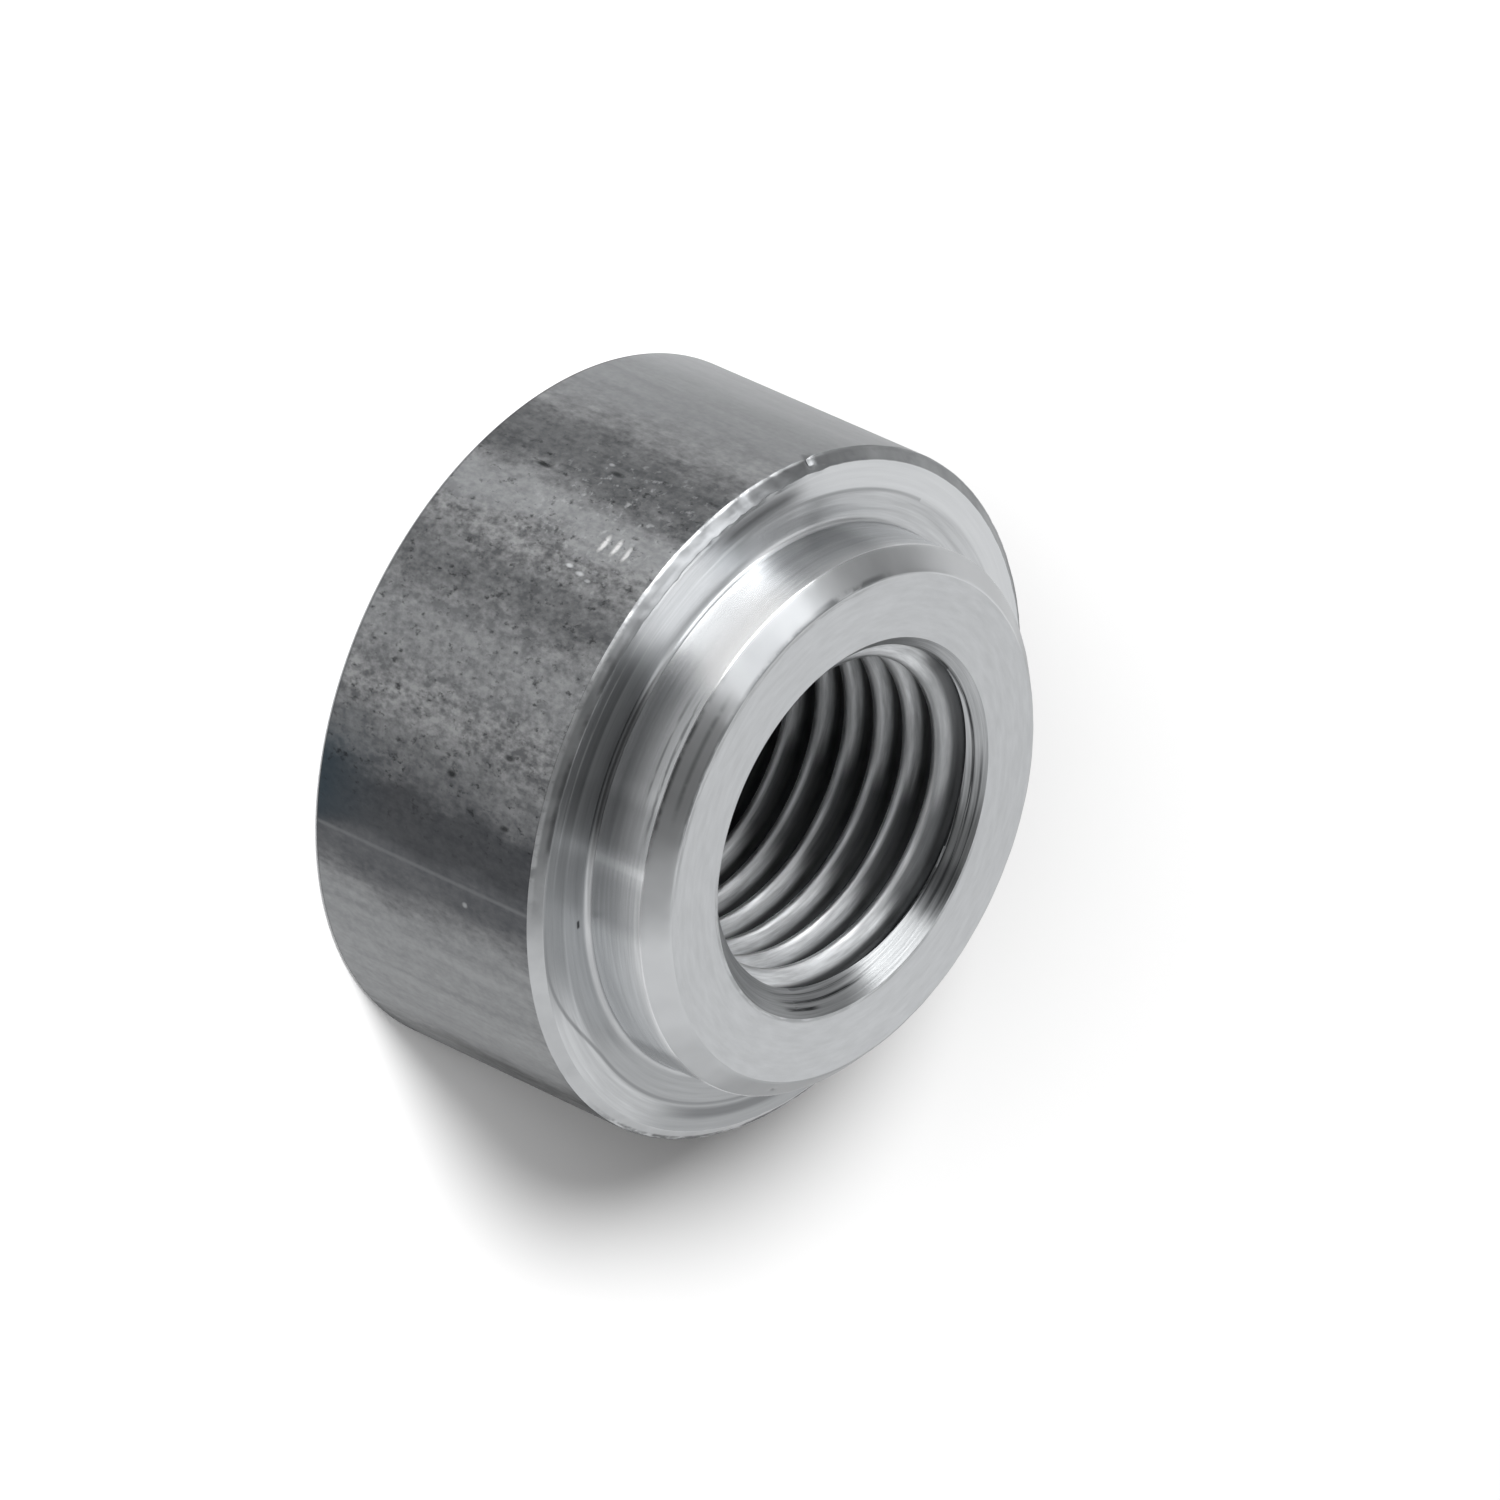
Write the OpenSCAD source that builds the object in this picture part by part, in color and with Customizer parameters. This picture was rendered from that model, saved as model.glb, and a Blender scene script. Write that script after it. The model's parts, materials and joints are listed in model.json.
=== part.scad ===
// Weld bung: a threaded boss turned from round bar, with a spigot that locates
// in the drilled hole while the shoulder is welded round.
// Millimetres, +Z along the bore. The back face stands on z = 0, its centre is the origin.

/* [Body] */
// Diameter of the round bar, which is left as drawn on the side
bar_d = 25; // [22:0.5:40]
// Height from the back face to the shoulder
body_h = 10.2; // [5:0.1:30]
// Edge break round the back face
back_break = 0.15; // [0.05:0.05:1]
// Chamfer round the shoulder
shoulder_chamfer = 0.4; // [0.1:0.05:1]

/* [Spigot] */
// Diameter of the spigot, a close fit in a 20 mm hole
spigot_d = 19.85; // [16:0.05:23]
// Height of the spigot above the shoulder
spigot_h = 3.1; // [1.5:0.1:10]
// Chamfer round the end of the spigot
spigot_chamfer = 0.75; // [0.1:0.05:1.1]
// Radius that the tool's nose leaves between shoulder and spigot
root_radius = 0.2; // [0.05:0.05:0.6]

/* [Bore] */
// Tapping bore, the minor diameter of a 1/4 inch parallel pipe thread
bore_d = 11.45; // [6:0.05:13]
// Diameter of the countersink in the spigot's end
mouth_sink_d = 13.7; // [13.2:0.1:17]
// Diameter of the countersink in the back face
back_sink_d = 13.7; // [13.2:0.1:20]
// Included angle of both countersinks
sink_angle = 90; // [60:5:120]

/* [Hidden] */
$fn = 180;
steel = [0.62, 0.63, 0.64];
overlap = 0.5;
bar_r = bar_d / 2;
spigot_r = spigot_d / 2;
bore_r = bore_d / 2;
overall_h = body_h + spigot_h;

// Depth of a countersink, from its diameter at the face down to the bore
function sink_depth(sink_d) = (sink_d - bore_d) / 2 / tan(sink_angle / 2);

// Half section of the body, from the axis out to the bar's own skin
module body_section() {
    polygon([
        [0, 0],
        [bar_r - back_break, 0],
        [bar_r, back_break],
        [bar_r, body_h - shoulder_chamfer],
        [bar_r - shoulder_chamfer, body_h],
        [0, body_h]
    ]);
}

// Half section of the spigot, which runs down into the body
module spigot_section() {
    polygon([
        [0, body_h - overlap],
        [spigot_r, body_h - overlap],
        [spigot_r, overall_h - spigot_chamfer],
        [spigot_r - spigot_chamfer, overall_h],
        [0, overall_h]
    ]);
}

// Half section of the fillet at the spigot's root
module root_section() {
    difference() {
        translate([spigot_r - overlap, body_h - overlap])
            square([root_radius + overlap, root_radius + overlap]);
        translate([spigot_r + root_radius, body_h + root_radius])
            circle(r = root_radius);
    }
}

// Half section of what the drill and the countersinks take out
module bore_section() {
    mouth_depth = sink_depth(mouth_sink_d);
    back_depth = sink_depth(back_sink_d);
    polygon([
        [0, -overlap],
        [back_sink_d / 2, -overlap],
        [back_sink_d / 2, 0],
        [bore_r, back_depth],
        [bore_r, overall_h - mouth_depth],
        [mouth_sink_d / 2, overall_h],
        [mouth_sink_d / 2, overall_h + overlap],
        [0, overall_h + overlap]
    ]);
}

// The bung: one turned piece, as the whole section spun round the bore
module bung() {
    color(steel)
        rotate_extrude()
            difference() {
                union() {
                    body_section();
                    spigot_section();
                    root_section();
                }
                bore_section();
            }
}

bung();
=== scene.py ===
import json
import math

import bmesh
import bpy
from mathutils import Matrix, Vector, noise


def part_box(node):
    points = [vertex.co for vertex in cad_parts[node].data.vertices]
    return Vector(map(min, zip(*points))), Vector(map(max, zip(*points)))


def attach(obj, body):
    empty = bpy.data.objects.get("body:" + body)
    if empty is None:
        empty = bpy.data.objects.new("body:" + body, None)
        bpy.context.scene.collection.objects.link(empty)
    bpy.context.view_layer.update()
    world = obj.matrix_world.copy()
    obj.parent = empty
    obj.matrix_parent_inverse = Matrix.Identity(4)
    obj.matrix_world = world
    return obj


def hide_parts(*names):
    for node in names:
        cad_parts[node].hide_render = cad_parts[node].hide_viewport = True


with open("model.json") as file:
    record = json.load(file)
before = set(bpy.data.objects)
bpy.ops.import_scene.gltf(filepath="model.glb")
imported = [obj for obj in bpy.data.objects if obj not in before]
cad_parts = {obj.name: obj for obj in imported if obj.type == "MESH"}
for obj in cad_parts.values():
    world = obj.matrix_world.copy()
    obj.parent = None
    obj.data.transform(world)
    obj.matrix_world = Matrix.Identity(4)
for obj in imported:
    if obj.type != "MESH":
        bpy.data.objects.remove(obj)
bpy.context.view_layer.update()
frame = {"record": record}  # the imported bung, standing on its back face with the bore along +Z
scene = bpy.context.scene
print("frame loaded")


# Small helpers

def mm(value):
    return value / 1000.0


def linear(hexColour):
    # sRGB hex to the linear colour that a shader wants
    parts = [int(hexColour[i:i + 2], 16) / 255 for i in (1, 3, 5)]
    return [p / 12.92 if p <= 0.04045 else ((p + 0.055) / 1.055) ** 2.4 for p in parts] + [1.0]


def addNode(tree, kind, inputs, **settings):
    # one node with its settings; inputs are values or sockets, by place or by name; gives its first output
    node = tree.nodes.new(kind)
    for name, value in settings.items():
        setattr(node, name, value)
    for key, value in inputs.items() if isinstance(inputs, dict) else enumerate(inputs):
        if isinstance(value, bpy.types.NodeSocket):
            tree.links.new(value, node.inputs[key])
        elif value is not None:
            node.inputs[key].default_value = value
    return node.outputs[0] if node.outputs else node


def around(x, y):
    # degrees round the bore as the photograph shows it: 0 is down in the picture, then left, up and right
    return math.degrees(math.atan2(-y, x)) % 360


def smoothStep(value, start, end):
    share = min(max((value - start) / (end - start), 0), 1)
    return share * share * (3 - 2 * share)


# Sizes of the bung: the driving ones come from the frame, the small ones are typed in millimetres

mounts = {mount["name"]: mount for mount in frame["record"]["mounts"]}
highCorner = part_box("bung")[1]
bung = {
    "barRadius": highCorner.x,
    "top": highCorner.z,
    "shoulderHeight": mounts["shoulder"]["pos_m"][2],
    "spigotRadius": mm(mounts["pilot"]["dims"]["r_mm"]),
    "minorRadius": mm(mounts["thread"]["dims"]["r_mm"]),
    "boreLength": mm(mounts["thread"]["dims"]["length_mm"]),
    "spigotChamfer": mm(0.75),
    "shoulderChamfer": mm(0.4),
    "facetRadius": mm(11.08),  # where the second cut across the shoulder begins
    "backBreak": mm(0.15),
    "rootRadius": mm(0.2),  # of the tool's nose, in the corner under the spigot
    "edgeRadius": mm(0.05),  # what deburring leaves on a turned edge
    "endEdgeRadius": mm(0.12),  # the spigot's end is knocked softer
    "segments": 384,  # round the bore
    "weld": mm(0.001),  # points closer than this become one
    "sharpAngle": 40,  # an edge that turns by more degrees than this stays sharp
}
bung["sinkDepth"] = (bung["top"] - bung["boreLength"]) / 2
bung["mouthRadius"] = bung["minorRadius"] + bung["sinkDepth"]  # both countersinks open at 90 degrees

thread = {
    "pitch": mm(1.337),  # 19 turns per inch
    "depth": mm(0.856),
    "rounding": mm(0.184),  # crest and root radius of a 55 degree form
    "flank": 27.5,  # half of that form's angle
    "rowsPerTurn": 14,  # points from crest to crest
    "phase": 0.466,  # height of the first crest on the +X side, as a share of the pitch
}


# The outside: its half section, spun round the bore

def roundCorner(before, corner, after, radius, steps=3):
    # the arc that replaces a corner of the section, in so many straight steps
    toBefore = (Vector(before) - Vector(corner)).normalized()
    toAfter = (Vector(after) - Vector(corner)).normalized()
    half = toBefore.angle(toAfter) / 2
    inward = (toBefore + toAfter).normalized()
    centre = Vector(corner) + inward * (radius / math.sin(half))
    start = (toBefore * (radius / math.tan(half)) - inward * (radius / math.sin(half))) / radius
    end = (toAfter * (radius / math.tan(half)) - inward * (radius / math.sin(half))) / radius
    return [centre + start.slerp(end, k / steps) * radius for k in range(steps + 1)]


def outerSection(s):
    # corners from the mouth, over the spigot and the shoulder, to the back:
    # radius, height, rounding, how many rows follow, and the finish of those rows
    shoulder, edge = s["shoulderHeight"], s["edgeRadius"]
    corners = [
        (s["mouthRadius"], s["top"], 0, 8, "faced"),
        (s["spigotRadius"] - s["spigotChamfer"], s["top"], s["endEdgeRadius"], 6, "chamfered"),
        (s["spigotRadius"], s["top"] - s["spigotChamfer"], s["endEdgeRadius"], 6, "turned"),
        (s["spigotRadius"], shoulder, s["rootRadius"], 6, "shoulder"),
        (s["facetRadius"], shoulder, 0, 10, "shoulder"),
        (s["barRadius"] - s["shoulderChamfer"], shoulder, edge, 5, "rim"),
        (s["barRadius"], shoulder - s["shoulderChamfer"], edge, 36, "drawn"),
        (s["barRadius"], s["backBreak"], edge, 1, "back"),
        (s["barRadius"] - s["backBreak"], 0, edge, 8, "back"),
        (s["mouthRadius"], 0, 0, 0, "back"),
    ]
    points, finishes = [], []
    for k, (radius, height, rounding, rows, finish) in enumerate(corners):
        if rounding:
            arc = roundCorner(corners[k - 1][:2], (radius, height), corners[k + 1][:2], rounding)
        else:
            arc = [Vector((radius, height))]
        if points:
            before, rowsBefore = points[-1], corners[k - 1][3]
            points += [before.lerp(arc[0], r / rowsBefore) for r in range(1, rowsBefore)]
            finishes += [corners[k - 1][4]] * rowsBefore
        points += arc
        finishes += [finish] * (len(arc) - 1)
    return points, finishes


def threadRows(s, t):
    # radius and height along one line of the bore: straight flanks between rounded crests and roots
    flank = math.radians(t["flank"])
    sharp = (t["pitch"] / 2 / math.tan(flank) - t["depth"]) / 2  # what the rounding takes off a sharp crest
    reach = t["rounding"] * math.cos(flank)
    firstRow = -2 * t["rowsPerTurn"]  # low enough to cover the whole bore once the lead has lifted a row
    lastRow = math.ceil(s["top"] / t["pitch"] + 1) * t["rowsPerTurn"]
    rows = []
    for row in range(firstRow, lastRow + 1):
        share = (row / t["rowsPerTurn"]) % 1.0
        fromCrest = min(share, 1 - share) * t["pitch"]  # 0 on a crest, half a pitch in a root
        across = min(fromCrest, t["pitch"] / 2 - fromCrest)
        if across < reach:
            fall = t["rounding"] - math.sqrt(t["rounding"] ** 2 - across ** 2)
        else:
            fall = across / math.tan(flank) - sharp
        radius = s["minorRadius"] + (fall if fromCrest < t["pitch"] / 4 else t["depth"] - fall)
        rows.append(Vector((radius, (row / t["rowsPerTurn"] + t["phase"]) * t["pitch"])))
    return rows


def spinTree():
    # Geometry Nodes: a section spun round Z, sheared by the thread's lead, and opened by both countersinks
    tree = bpy.data.node_groups.new("spinSection", "GeometryNodeTree")
    for name, kind in (("Section", "Geometry"), ("Segments", "Int"), ("Lead", "Float"), ("Top", "Float"),
                       ("Mouth Radius", "Float"), ("Weld", "Float"), ("Finish", "Material")):
        tree.interface.new_socket(name=name, in_out="INPUT", socket_type="NodeSocket" + kind)
    tree.interface.new_socket(name="Mesh", in_out="OUTPUT", socket_type="NodeSocketGeometry")
    given = addNode(tree, "NodeGroupInput", []).node.outputs
    mathNode = "ShaderNodeMath"
    # a grid with one column for each step round the bore and one row for each point of the section
    size = addNode(tree, "GeometryNodeAttributeDomainSize", [given["Section"]], component="MESH")
    count = size.node.outputs["Point Count"]
    columns = addNode(tree, mathNode, [given["Segments"], 1.0], operation="ADD")
    grid = addNode(tree, "GeometryNodeMeshGrid", {"Vertices X": columns, "Vertices Y": count})
    index = addNode(tree, "GeometryNodeInputIndex", [])
    row = addNode(tree, mathNode, [index, count], operation="MODULO")
    passed = addNode(tree, mathNode, [index, row], operation="SUBTRACT")
    column = addNode(tree, mathNode, [passed, count], operation="DIVIDE")
    turn = addNode(tree, mathNode, [column, given["Segments"]], operation="DIVIDE")
    place = addNode(tree, "GeometryNodeInputPosition", [])
    point = addNode(tree, "GeometryNodeSampleIndex",
                    {"Geometry": given["Section"], "Value": place, "Index": row}, data_type="FLOAT_VECTOR")
    point = addNode(tree, "ShaderNodeSeparateXYZ", [point]).node.outputs
    # the section's height, lifted by the lead and kept between both faces
    lifted = addNode(tree, mathNode, [turn, given["Lead"], point["Z"]], operation="MULTIPLY_ADD")
    above = addNode(tree, mathNode, [lifted, 0.0], operation="MAXIMUM")
    height = addNode(tree, mathNode, [above, given["Top"]], operation="MINIMUM")
    # the section's radius, kept outside the cones of both countersinks
    toTop = addNode(tree, mathNode, [given["Top"], height], operation="SUBTRACT")
    toFace = addNode(tree, mathNode, [height, toTop], operation="MINIMUM")
    cone = addNode(tree, mathNode, [given["Mouth Radius"], toFace], operation="SUBTRACT")
    radius = addNode(tree, mathNode, [point["X"], cone], operation="MAXIMUM")
    spoke = addNode(tree, "ShaderNodeCombineXYZ", [radius])
    angle = addNode(tree, mathNode, [turn, 2 * math.pi], operation="MULTIPLY")
    turned = addNode(tree, "ShaderNodeVectorRotate", {"Vector": spoke, "Angle": angle},
                     rotation_type="Z_AXIS")
    lift = addNode(tree, "ShaderNodeCombineXYZ", [None, None, height])
    where = addNode(tree, "ShaderNodeVectorMath", [turned, lift], operation="ADD")
    moved = addNode(tree, "GeometryNodeSetPosition", {"Geometry": grid, "Position": where})
    welded = addNode(tree, "GeometryNodeMergeByDistance", {"Geometry": moved, "Distance": given["Weld"]})
    plain = addNode(tree, "GeometryNodeRealizeInstances", [welded])
    painted = addNode(tree, "GeometryNodeSetMaterial", {"Geometry": plain, "Material": given["Finish"]})
    addNode(tree, "NodeGroupOutput", [painted])
    return tree


def spin(name, points, tree, values):
    # section points made an object, spun by the tree, and turned into a plain mesh
    line = bpy.data.meshes.new(name + "Section")
    line.from_pydata([(p[0], 0.0, p[1]) for p in points], [(k, k + 1) for k in range(len(points) - 1)], [])
    spun = bpy.data.objects.new(name, line)
    scene.collection.objects.link(spun)
    modifier = spun.modifiers.new("spin", "NODES")
    modifier.node_group = tree
    for item in tree.interface.items_tree:
        if item.in_out == "INPUT" and item.name in values:
            modifier[item.identifier] = values[item.name]
    mesh = bpy.data.meshes.new_from_object(spun.evaluated_get(bpy.context.evaluated_depsgraph_get()))
    bpy.data.objects.remove(spun)
    return mesh


# Wear: small dents and burrs pressed into the mesh, always inward, and one lip that stands up on the rim

wear = {
    # angles in degrees as around() gives them; a pair is where a change begins and where it ends
    "facetDrop": mm(0.05),  # how far the shoulder's second cut falls towards the rim
    "facetEnds": (32, 46),  # where the second cut stops, on the picture's left
    "facetStarts": (142, 151),  # and where it is there again, at the top
    "runOut": mm(0.95),  # how far its inner edge swings out to the rim before it stops
    "swing": (18, 46),
    "burr": mm(0.045),  # how ragged the shoulder's rim is where the tool left a burr
    "lip": mm(0.07),  # how far the burr stands up
    "burrStarts": (96, 116),
    "burrEnds": (146, 160),
    "burrElsewhere": 0.35,  # share of the burr that the rest of the rim has
    "burrReach": (mm(0.12), mm(0.55)),  # how far it goes inward from the chamfer, and down from the shoulder
    "burrCells": 2600,  # cells of its noise in a metre, and twice as many in the finer part
    "endRagged": mm(0.02),  # how uneven the edges of the spigot's end are
    "endReach": mm(0.2),  # how far from such an edge that goes
    "endCells": 1500,
    "pressedDown": 0.5,  # on the spigot and the rim a cut goes down too, by this share
    "dents": [
        # angle, half width in degrees, height from the back, half height, depth
        (114.6, 1.5, mm(7.20), mm(0.16), mm(0.08)),
        (114.9, 1.5, mm(7.72), mm(0.15), mm(0.08)),
        (114.4, 1.4, mm(8.24), mm(0.14), mm(0.08)),
        (148.8, 0.9, mm(9.85), mm(0.35), mm(0.12)),
        (345.0, 1.3, mm(12.93), mm(0.10), mm(0.06)),
        (72.0, 0.8, mm(5.75), mm(0.28), mm(0.05)),
        (67.3, 0.7, mm(8.45), mm(0.30), mm(0.05)),
        (123.4, 0.7, mm(2.85), mm(0.40), mm(0.04)),
    ],
}


def wearBung(mesh, s, w):
    shoulder, chamferStart = s["shoulderHeight"], s["barRadius"] - s["shoulderChamfer"]
    endEdges = [(s["spigotRadius"] - s["spigotChamfer"], s["top"]),
                (s["spigotRadius"], s["top"] - s["spigotChamfer"])]
    for vertex in mesh.vertices:
        x, y, z = vertex.co
        radius, angle = math.hypot(x, y), around(x, y)
        cut, drop = 0.0, 0.0
        onFacet = radius > s["facetRadius"] + mm(0.01) and z > shoulder - s["shoulderChamfer"] + mm(0.03)
        if onFacet:
            # the second cut falls towards the rim, and runs out of the metal on the picture's left
            inside = smoothStep(angle, *w["facetStarts"]) + 1 - smoothStep(angle, *w["facetEnds"])
            swings = smoothStep(angle, *w["swing"]) * (angle < w["facetStarts"][0])
            starts = s["facetRadius"] + w["runOut"] * swings
            drop += w["facetDrop"] * min(inside, 1) * smoothStep(radius, starts, chamferStart)
        inward, down = w["burrReach"]
        if radius > chamferStart - inward and shoulder - down < z < shoulder + mm(0.01):
            burred = smoothStep(angle, *w["burrStarts"]) * (1 - smoothStep(angle, *w["burrEnds"]))
            coarse, fine = vertex.co * w["burrCells"], vertex.co * 2 * w["burrCells"]
            ragged = noise.noise(coarse) + 0.6 * noise.noise(fine)
            strength = w["burrElsewhere"] + (1 - w["burrElsewhere"]) * burred
            cut += w["burr"] * strength * max(ragged + 0.15, 0)
            onShoulder = z > shoulder - mm(0.02)
            if onShoulder:
                drop -= w["lip"] * burred * max(ragged + 0.5, 0)
        fromEdge = min(math.hypot(radius - r, z - h) for r, h in endEdges) / w["endReach"]
        if fromEdge < 1:
            cut += w["endRagged"] * max(noise.noise(vertex.co * w["endCells"]), 0) * (1 - fromEdge)
        for middle, width, height, half, depth in w["dents"]:
            across = abs((angle - middle + 180) % 360 - 180) / width
            along = abs(z - height) / half
            if across < 1 and along < 1:
                cut += depth * (1 - across ** 2) ** 2 * (1 - along ** 2)
        if cut or drop:
            inBore = radius <= s["mouthRadius"] + mm(0.02)
            share = (radius + cut if inBore else radius - cut) / radius
            aboveBar = z > shoulder - mm(0.6)
            vertex.co = (x * share, y * share, z - drop - (cut * w["pressedDown"] if aboveBar else 0))


def makeBung(s, t, w, finishes):
    tree = spinTree()
    shared = {
        "Segments": s["segments"],
        "Top": s["top"],
        "Mouth Radius": s["mouthRadius"],
        "Weld": s["weld"],
        "Finish": finishes["turned"],  # until each face gets its own below
    }
    section, rowFinishes = outerSection(s)
    outside = spin("outside", section, tree, {**shared, "Lead": 0.0})
    bore = spin("bore", threadRows(s, t), tree, {**shared, "Lead": t["pitch"]})
    names = list(finishes)
    rowsIn = len(section) - 1
    for face in outside.polygons:
        face.material_index = names.index(rowFinishes[face.index % rowsIn])
    for face in bore.polygons:
        middle = face.center
        cone = s["mouthRadius"] - min(middle.z, s["top"] - middle.z)
        sunk = math.hypot(middle.x, middle.y) < cone + mm(0.03)  # cut by a countersink, not by the tap
        face.material_index = names.index("sunk" if sunk else "tapped")
    shape = bmesh.new()
    shape.from_mesh(outside)
    shape.from_mesh(bore)
    bmesh.ops.remove_doubles(shape, verts=shape.verts, dist=s["weld"])
    bmesh.ops.recalc_face_normals(shape, faces=shape.faces)
    mesh = bpy.data.meshes.new("bungSteel")
    shape.to_mesh(mesh)
    print("bung: open edges", sum(len(e.link_faces) != 2 for e in shape.edges), "triangles",
          sum(len(f.verts) - 2 for f in shape.faces))
    shape.free()
    for finish in finishes.values():
        mesh.materials.append(finish)
    wearBung(mesh, s, w)
    mesh.polygons.foreach_set("use_smooth", [True] * len(mesh.polygons))
    mesh.set_sharp_from_angle(angle=math.radians(s["sharpAngle"]))
    piece = bpy.data.objects.new("threadedBung", mesh)
    scene.collection.objects.link(piece)
    return piece


# Finishes of the steel

noiseKind = {"Detail": 3.0, "Roughness": 0.6}  # how many finer layers a noise has, and how strong they are
noiseSpan = (0.3, 0.7)  # nearly all values of such a noise lie between these


def newFinish(name):
    # a metal shader, and where each point lies: in millimetres, as radius, and as degrees round the bore,
    # which run from -180 to 180 and otherwise as in around()
    made = bpy.data.materials.new(name)
    made.use_nodes = True
    tree = made.node_tree
    shader = tree.nodes["Principled BSDF"]
    shader.inputs["Metallic"].default_value = 1.0
    place = addNode(tree, "ShaderNodeTexCoord", []).node.outputs["Object"]
    place = addNode(tree, "ShaderNodeVectorMath", {0: place, "Scale": 1000.0}, operation="SCALE")
    x, y, z = addNode(tree, "ShaderNodeSeparateXYZ", [place]).node.outputs
    back = addNode(tree, "ShaderNodeMath", [y, -1.0], operation="MULTIPLY")
    angle = addNode(tree, "ShaderNodeMath", [back, x], operation="ARCTAN2")
    angle = addNode(tree, "ShaderNodeMath", [angle], operation="DEGREES")
    flat = addNode(tree, "ShaderNodeCombineXYZ", [x, y])
    radius = addNode(tree, "ShaderNodeVectorMath", [flat], operation="LENGTH").node.outputs["Value"]
    at = {"place": place, "x": x, "y": y, "height": z, "angle": angle, "radius": radius}
    return made, tree, shader, at


def band(tree, value, start, end, soft):
    # 1 between two values and 0 outside, with soft edges
    rise = addNode(tree, "ShaderNodeMapRange", [value, start - soft, start + soft],
                   interpolation_type="SMOOTHSTEP")
    fall = addNode(tree, "ShaderNodeMapRange", [value, end - soft, end + soft, 1.0, 0.0],
                   interpolation_type="SMOOTHSTEP")
    return addNode(tree, "ShaderNodeMath", [rise, fall], operation="MULTIPLY")


def grain(tree, at, stretch, size, seed):
    # noise whose cells are so many millimetres wide, drawn out along an axis where its stretch is under 1
    squashed = addNode(tree, "ShaderNodeVectorMath", [at["place"], stretch, (seed, seed, seed)],
                       operation="MULTIPLY_ADD")
    return addNode(tree, "ShaderNodeTexNoise", {"Vector": squashed, "Scale": 1 / size, **noiseKind})


def stainAndPaintedLight(tree, colour, mask, hexColour, share):
    # the colour so far, turned towards another one where the mask is: used for real marks such as pits and
    # scratches, and for painted highlights, reflections and shade
    amount = addNode(tree, "ShaderNodeMath", [mask, share], operation="MULTIPLY")
    mixed = addNode(tree, "ShaderNodeMix", {0: amount, 6: colour, 7: linear(hexColour)}, data_type="RGBA")
    return mixed.node.outputs[2]


def turningMarks(tree, at, spacing, drift):
    # the tool's fine rings: noise that runs along radius and height, and drifts slowly round the bore
    along = addNode(tree, "ShaderNodeMath", [at["radius"], at["height"]], operation="ADD")
    along = addNode(tree, "ShaderNodeMath", [along, 1 / spacing], operation="MULTIPLY")
    slow = addNode(tree, "ShaderNodeVectorMath", {0: at["place"], "Scale": drift}, operation="SCALE")
    slowX, slowY, _ = addNode(tree, "ShaderNodeSeparateXYZ", [slow]).node.outputs
    where = addNode(tree, "ShaderNodeCombineXYZ", [along, slowX, slowY])
    return addNode(tree, "ShaderNodeTexNoise", {"Vector": where, "Scale": 1.0, **noiseKind})


def circling(tree, at):
    # direction of the tool's grooves, round the bore
    back = addNode(tree, "ShaderNodeMath", [at["y"], -1.0], operation="MULTIPLY")
    along = addNode(tree, "ShaderNodeCombineXYZ", [back, at["x"]])
    return addNode(tree, "ShaderNodeVectorMath", [along], operation="NORMALIZE")


# how the painted rings of light and shade end, and how they break into flecks
paintedRingForm = {
    "endParts": 5,  # a stretch of a ring ends softly over a fifth of its length
    "endMost": 8,  # but over no more degrees than this
    "fleckWidth": 0.07,  # of the flecks across a broken ring, in millimetres
    "fleckSpan": (0.36, 0.52),  # values of the noise at which flecks begin and are whole
}


def paintedLightRing(tree, at, colour, ring):
    # a stretch of a ring in another tone, which paints highlights, reflections and shade onto the steel: all
    # round or between two angles, whole or broken into flecks
    across, start, end, soft, firstAngle, lastAngle, flecks, hexColour, share = ring
    mask = band(tree, at[across], start, end, soft)
    stretch = lastAngle - firstAngle
    if stretch < 360:
        endSoft = min(stretch / paintedRingForm["endParts"], paintedRingForm["endMost"])
        sector = band(tree, at["angle"], firstAngle, lastAngle, endSoft)
        mask = addNode(tree, "ShaderNodeMath", [mask, sector], operation="MULTIPLY")
    if flecks:
        broken = turningMarks(tree, at, paintedRingForm["fleckWidth"], 1 / flecks)
        broken = addNode(tree, "ShaderNodeMapRange", [broken, *paintedRingForm["fleckSpan"]])
        mask = addNode(tree, "ShaderNodeMath", [mask, broken], operation="MULTIPLY")
    return stainAndPaintedLight(tree, colour, mask, hexColour, share)


def turnedFinish(look, w):
    # mild steel cut by a pointed tool: bright, with fine rings that fan a highlight out across them
    made, tree, shader, at = newFinish(look["name"])
    swing = addNode(tree, "ShaderNodeMapRange", [at["angle"], *w["swing"], 0.0, w["runOut"] * 1000],
                    interpolation_type="SMOOTHSTEP")
    at["secondCut"] = addNode(tree, "ShaderNodeMath", [at["radius"], swing], operation="SUBTRACT")
    marks = turningMarks(tree, at, look["spacing"], look["drift"])
    tone = addNode(tree, "ShaderNodeMapRange", [marks, *noiseSpan])
    colour = addNode(tree, "ShaderNodeMix", {0: tone, 6: linear(look["dark"]), 7: linear(look["light"])},
                     data_type="RGBA").node.outputs[2]
    # the look's rings, which paint light and shade onto the steel
    for ring in look["rings"]:
        colour = paintedLightRing(tree, at, colour, ring)
    tree.links.new(colour, shader.inputs["Base Color"])
    shader.inputs["Roughness"].default_value = look["roughness"]
    shader.inputs["Anisotropic"].default_value = look["anisotropy"]
    shader.inputs["Anisotropic Rotation"].default_value = 0.25  # the highlight spreads across the grooves
    tree.links.new(circling(tree, at), shader.inputs["Tangent"])
    bump = addNode(tree, "ShaderNodeBump", {"Strength": 1.0, "Distance": mm(look["depth"]), "Height": marks})
    tree.links.new(bump, shader.inputs["Normal"])
    return made
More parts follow.
